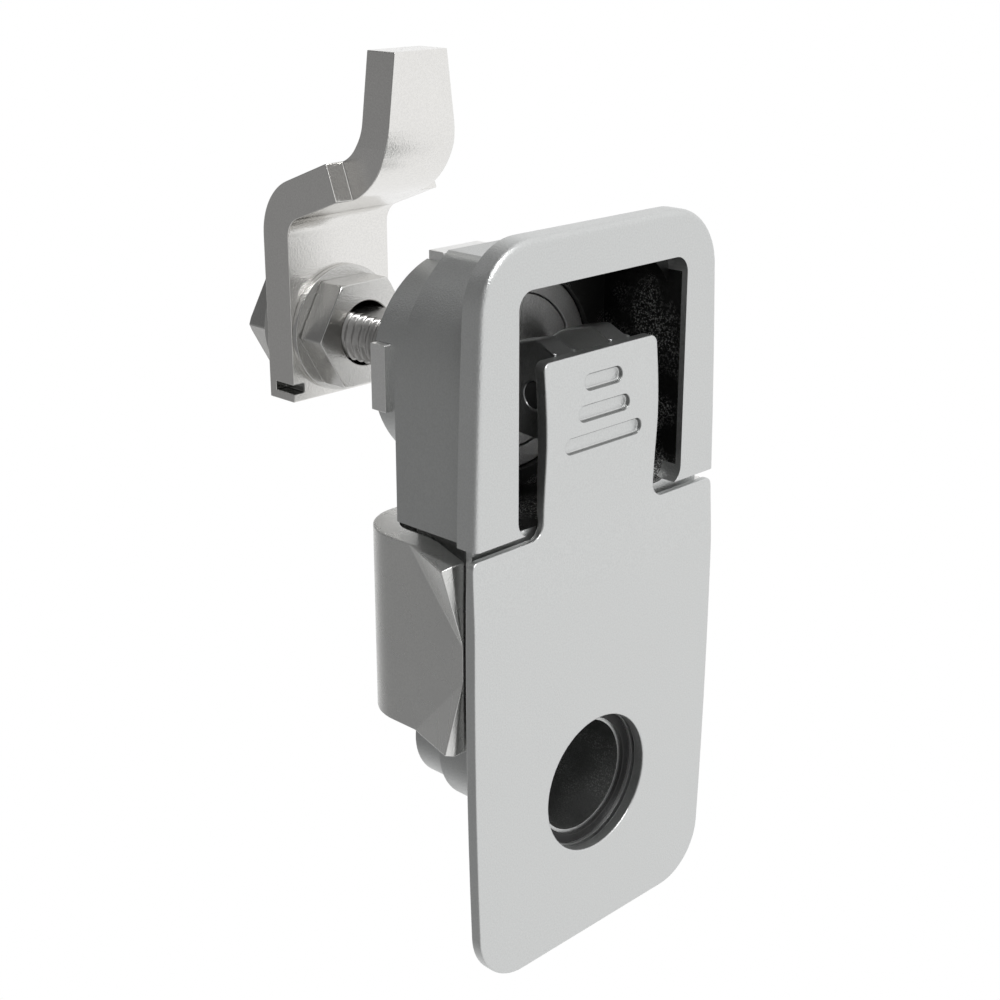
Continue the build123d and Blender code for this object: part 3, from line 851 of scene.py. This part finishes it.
@dataclass
class ThreadedShaft(SubAssembly):
    """Shaft with its pivot tang and a thread that has two flats.

    Args:
        body: Body that it belongs to.
        node: Solid that it stands for.
        start: Depth at which the thread begins, in metres.
        overlap: Length by which the front end runs on into the thread.
        pitch: Pitch of the thread.
        groove: Depth of the thread.
        flat: Half height over the flats.
        chamfer: Chamfer at the end.
        stretch: How much steeper than a plain V the flanks are, which leaves crest and root flat.
        around: Points round the thread.
        per_turn: Rows of points per turn.
        end_share: Share of the rows at each end that close it.
        fold_deg: Fold from which on the thread is shaded as an edge.
    """

    body: str = "shaft_group"
    node: str = "shaft"
    start: float = 23.6 * MM
    overlap: float = 0.4 * MM
    pitch: float = 1.25 * MM
    groove: float = 0.62 * MM
    flat: float = 2.95 * MM
    chamfer: float = 0.6 * MM
    stretch: float = 1.3
    around: int = 72
    per_turn: int = 10
    end_share: float = 0.0001
    fold_deg: float = 40.0

    def crest(self, plan: MeshTree, along: bpy.types.NodeSocket, turned: bpy.types.NodeSocket,
              outer: bpy.types.NodeSocket, left: bpy.types.NodeSocket) -> bpy.types.NodeSocket:
        """Works out the radius of the thread at a point.

        Args:
            plan: Tree of the thread.
            along: Way from the start of the thread.
            turned: Share of a turn round the shaft.
            outer: Outer radius.
            left: Way to the end of the thread.

        Returns:
            The radius, within the chamfer at the end.
        """
        pitch, groove = plan.size("Pitch", self.pitch), plan.size("Groove", self.groove)
        chamfer = plan.size("Chamfer", self.chamfer)
        turns = plan.math("SUBTRACT", plan.math("DIVIDE", along, pitch), turned)
        saw = plan.math("SUBTRACT", plan.math("MULTIPLY", plan.math("FRACT", turns), 2.0), 1.0)
        steep = plan.math("MULTIPLY", plan.math("ABSOLUTE", saw), self.stretch)
        cut = plan.math("SUBTRACT", steep, (self.stretch - 1) / 2)
        cut = plan.math("MINIMUM", plan.math("MAXIMUM", cut, 0.0), 1.0)
        radius = plan.math("SUBTRACT", outer, plan.math("MULTIPLY", cut, groove))
        tip = plan.math("ADD", plan.math("SUBTRACT", outer, chamfer), left)
        return plan.math("MINIMUM", radius, tip)

    def thread_tree(self, radius: float, length: float) -> MeshTree:
        """Writes the tree of the thread: a grid that is rolled up round the shaft.

        Args:
            radius: Outer radius.
            length: Length of the thread.

        Returns:
            The tree.
        """
        plan = MeshTree("shaft_thread")
        outer, start = plan.size("Radius", radius), plan.size("Start", self.start)
        long, flat = plan.size("Length", length), plan.size("Flat", self.flat)
        grid = plan.node("GeometryNodeMeshGrid")
        for label, value in (("Size X", 1.0), ("Size Y", 1.0),
                             ("Vertices X", int(length / self.pitch * self.per_turn)),
                             ("Vertices Y", self.around + 1)):
            grid.inputs[label].default_value = value
        split = plan.node("ShaderNodeSeparateXYZ")
        plan.join(plan.node("GeometryNodeInputPosition").outputs[0], split.inputs[0])
        # The grid is one unit square about its middle: X becomes length, and Y one turn.
        share = plan.math("ADD", split.outputs["X"], 0.5)
        turned = plan.math("ADD", split.outputs["Y"], 0.5)
        along = plan.math("MULTIPLY", share, long)
        crest = self.crest(plan, along, turned, outer, plan.math("SUBTRACT", long, along))
        inner = plan.math("MULTIPLY", plan.math("LESS_THAN", self.end_share, share),
                          plan.math("LESS_THAN", share, 1 - self.end_share))
        reach = plan.math("MULTIPLY", crest, inner)
        angle = plan.math("MULTIPLY", turned, 2 * math.pi)
        x = plan.math("MULTIPLY", reach, plan.math("COSINE", angle))
        z = plan.math("MULTIPLY", reach, plan.math("SINE", angle))
        z = plan.math("MAXIMUM", plan.math("MINIMUM", z, flat), plan.math("MULTIPLY", flat, -1.0))
        merge = plan.node("ShaderNodeCombineXYZ")
        for value, port in zip((x, plan.math("ADD", start, along), z), merge.inputs):
            plan.join(value, port)
        move = plan.node("GeometryNodeSetPosition")
        plan.join(grid.outputs["Mesh"], move.inputs["Geometry"])
        plan.join(merge.outputs[0], move.inputs["Position"])
        weld = plan.node("GeometryNodeMergeByDistance")
        weld.inputs["Distance"].default_value = WELD
        plan.join(move.outputs[0], weld.inputs["Geometry"])
        real = plan.node("GeometryNodeRealizeInstances")
        plan.join(weld.outputs[0], real.inputs[0])
        paint = plan.node("GeometryNodeSetMaterial")
        paint.inputs["Material"].default_value = THREAD.material()
        plan.join(real.outputs[0], paint.inputs["Geometry"])
        plan.join(paint.outputs[0], plan.sink.inputs[0])
        return plan

    def thread(self) -> bpy.types.Object:
        """Makes the threaded length as plain mesh.

        Returns:
            The thread, closed at both ends.
        """
        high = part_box(self.node)[1]
        piece = self.thread_tree(high.x, high.y - self.start).grow("shaft_thread")
        work = bmesh.new()
        work.from_mesh(piece.data)
        bmesh.ops.remove_doubles(work, verts=work.verts, dist=FINE_WELD)
        bmesh.ops.recalc_face_normals(work, faces=work.faces)
        work.to_mesh(piece.data)
        work.free()
        piece.data.shade_smooth()
        piece.data.set_sharp_from_angle(angle=math.radians(self.fold_deg))
        return piece

    def front(self) -> bpy.types.Object:
        """Makes the tang and the neck, cut off where the thread begins.

        Returns:
            The front end of the shaft.
        """
        piece = merged_copy(self.node)
        work = bmesh.new()
        work.from_mesh(piece.data)
        cut_off(work, self.start + self.overlap, 1)
        bmesh.ops.holes_fill(work, edges=[line for line in work.edges if line.is_boundary],
                             sides=0)
        work.to_mesh(piece.data)
        work.free()
        break_edges(piece, Edge.CRISP)
        return piece

    def build(self) -> None:
        """Makes and dresses both lengths of the shaft."""
        self.dress(self.thread(), THREAD, "plated_steel", self.node)
        self.dress(self.front(), PLATE, "plated_steel", self.node)


@dataclass
class InnerPieces:
    """Seals, spring, clip and pin, which keep the plain form of their solids.

    Args:
        finishes: Surface of each solid.
    """

    finishes: dict[str, Finish] = field(default_factory=lambda: {
        "rotor_seal": RUBBER, "shaft_seal": RUBBER,
        "shaft_spring": HARD, "shaft_clip": HARD, "pivot_pin": HARD})

    def build(self) -> None:
        """Gives each solid its surface."""
        for node, finish in self.finishes.items():
            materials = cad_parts[node].data.materials
            materials.clear()
            materials.append(finish.material())
            log.info("finished %s", node)


@dataclass(frozen=True)
class Lamp:
    """Square soft lamp that faces the latch.

    Args:
        name: Name of the lamp.
        place: Where it stands.
        size: Side of its square.
        watts: Its power.
        aim: Point of the latch that it faces.
    """

    name: str
    place: Point
    size: float
    watts: float
    aim: Point = (0, 0.01, -0.02)

    def build(self) -> None:
        """Adds the lamp to the scene."""
        data = bpy.data.lights.new(self.name, "AREA")
        data.size = self.size
        data.energy = self.watts
        lamp = new_object(self.name, data)
        lamp.location = self.place
        ahead = Vector(self.aim) - Vector(self.place)
        lamp.rotation_euler = ahead.to_track_quat("-Z", "Y").to_euler()


@dataclass
class Studio:
    """Floor, lamps, background and camera.

    Args:
        eye: Place of the camera.
        turn_deg: Turn of the view from +Y towards +X.
        down_deg: How far the view looks down.
        lens_mm: Focal length on the sensor.
        sensor_mm: Width of the sensor.
        nearest: Distance from the camera at which it begins to see.
        floor_z: Height of the floor.
        floor_half: Half the side of the floor.
        floor_grey: Brightness of the floor's colour.
        floor_rough: Its roughness.
        bright: Direction of the bright side of the studio.
        turning: Share of the bright direction at which the shade ends and the full light begins.
        shade: Strength of the studio's shaded corner in mirrored light, at eye level and below.
        shade_above: Its strength further up.
        rise: Share of the upward direction between the two.
        ambient: Strength of the soft light from all round.
        lamps: Lamps beside the latch.
    """

    eye: Point = (-0.13710, -0.12095, 0.05161)
    turn_deg: float = 45.585
    down_deg: float = 19.495
    lens_mm: float = 61.70
    sensor_mm: float = 36.0
    nearest: float = 0.005
    floor_z: float = -0.40
    floor_half: float = 3.0
    floor_grey: float = 0.9
    floor_rough: float = 0.9
    bright: Point = (0.87, -0.41, -0.26)
    turning: Span = (-0.65, 0.35)
    shade: float = 0.26
    shade_above: float = 0.12
    rise: Span = (0.0, 0.6)
    ambient: float = 0.5
    lamps: tuple[Lamp, ...] = (Lamp("key", (-0.17, -0.31, 0.53), 0.16, 1.6),
                               Lamp("back", (-0.20, 0.42, 0.42), 0.10, 0.04))

    def camera(self) -> None:
        """Sets the camera at its viewing angle."""
        turn, down = math.radians(self.turn_deg), math.radians(self.down_deg)
        ahead = Vector((math.sin(turn) * math.cos(down), math.cos(turn) * math.cos(down),
                        -math.sin(down)))
        data = bpy.data.cameras.new("camera")
        data.lens = self.lens_mm
        data.sensor_width = self.sensor_mm
        data.clip_start = self.nearest
        eye = new_object("camera", data)
        eye.location = self.eye
        eye.rotation_euler = ahead.to_track_quat("-Z", "Y").to_euler()
        bpy.context.scene.camera = eye

    def mirrored(self, wiring: Wiring, place: bpy.types.NodeSocket) -> bpy.types.NodeSocket:
        """Grades the mirrored studio from its shaded corner to its bright side.

        Args:
            wiring: Node tree of the world or the floor.
            place: Point whose direction from the latch is graded.

        Returns:
            Strength of the studio as polished metal shows it.
        """
        unit = wiring.node("ShaderNodeVectorMath", operation="NORMALIZE")
        wiring.join(place, unit.inputs[0])
        along = wiring.node("ShaderNodeVectorMath", operation="DOT_PRODUCT")
        wiring.join(unit.outputs["Vector"], along.inputs[0])
        wiring.join(self.bright, along.inputs[1])
        split = wiring.node("ShaderNodeSeparateXYZ")
        wiring.join(unit.outputs["Vector"], split.inputs[0])
        dark = wiring.spread(split.outputs["Z"], self.rise, (self.shade, self.shade_above))
        return wiring.spread(along.outputs["Value"], self.turning, (dark, 1.0),
                             interpolation_type="SMOOTHSTEP")

    def world(self) -> None:
        """White where it is seen, graded where it is mirrored, dimmer where it lights."""
        world = bpy.data.worlds.new("studio")
        world.use_nodes = True
        world.node_tree.nodes.clear()
        wiring = Wiring(world.node_tree)
        place = wiring.node("ShaderNodeTexCoord").outputs["Generated"]
        ray = wiring.node("ShaderNodeLightPath").outputs
        seen = wiring.math("MAXIMUM", ray["Is Camera Ray"], ray["Is Transmission Ray"])
        glossy = wiring.math("MULTIPLY", ray["Is Glossy Ray"], self.mirrored(wiring, place))
        lights = wiring.math("MULTIPLY", ray["Is Diffuse Ray"], self.ambient)
        strength = wiring.math("MAXIMUM", wiring.math("MAXIMUM", seen, glossy), lights)
        sky = wiring.node("ShaderNodeBackground")
        wiring.join((1, 1, 1, 1), sky.inputs["Color"])
        wiring.join(strength, sky.inputs["Strength"])
        wiring.join(sky.outputs[0], wiring.node("ShaderNodeOutputWorld").inputs["Surface"])
        bpy.context.scene.world = world

    def floor(self) -> None:
        """Lays a plain pale floor well below the latch, white where it is seen."""
        half, z = self.floor_half, self.floor_z
        mesh = bpy.data.meshes.new("floor")
        mesh.from_pydata([(-half, -half, z), (half, -half, z), (half, half, z), (-half, half, z)],
                         [], [(0, 1, 2, 3)])
        floor = new_object("floor", mesh)
        mat = bpy.data.materials.new("floor_white")
        mat.use_nodes = True
        nodes = mat.node_tree.nodes
        shader = nodes["Principled BSDF"]
        shader.inputs["Base Color"].default_value = (*[self.floor_grey] * 3, 1)
        shader.inputs["Roughness"].default_value = self.floor_rough
        wiring = Wiring(mat.node_tree)
        place = wiring.node("ShaderNodeTexCoord").outputs["Object"]
        ray = wiring.node("ShaderNodeLightPath").outputs
        seen = wiring.math("MAXIMUM", ray["Is Camera Ray"], ray["Is Glossy Ray"])
        glow = wiring.node("ShaderNodeEmission")
        wiring.join(wiring.math("MAXIMUM", ray["Is Camera Ray"], self.mirrored(wiring, place)),
                    glow.inputs["Strength"])
        mix = wiring.node("ShaderNodeMixShader")
        for value, port in zip((seen, shader.outputs[0], glow.outputs[0]), mix.inputs):
            wiring.join(value, port)
        wiring.join(mix.outputs[0], nodes["Material Output"].inputs["Surface"])
        mesh.materials.append(mat)

    def build(self) -> None:
        """Sets up the whole studio."""
        self.camera()
        self.world()
        self.floor()
        for lamp in self.lamps:
            lamp.build()
        bpy.context.scene.view_settings.view_transform = "Standard"


def main() -> None:
    """Builds every piece of the latch and the studio."""
    logging.basicConfig(level=logging.INFO, format="%(name)s: %(message)s")
    for group in (HousingAssembly(), RotorAssembly(), ClampedCam(), Lever(), ThreadedShaft(),
                  InnerPieces(), Studio()):
        group.build()


if __name__ == "__main__":
    main()
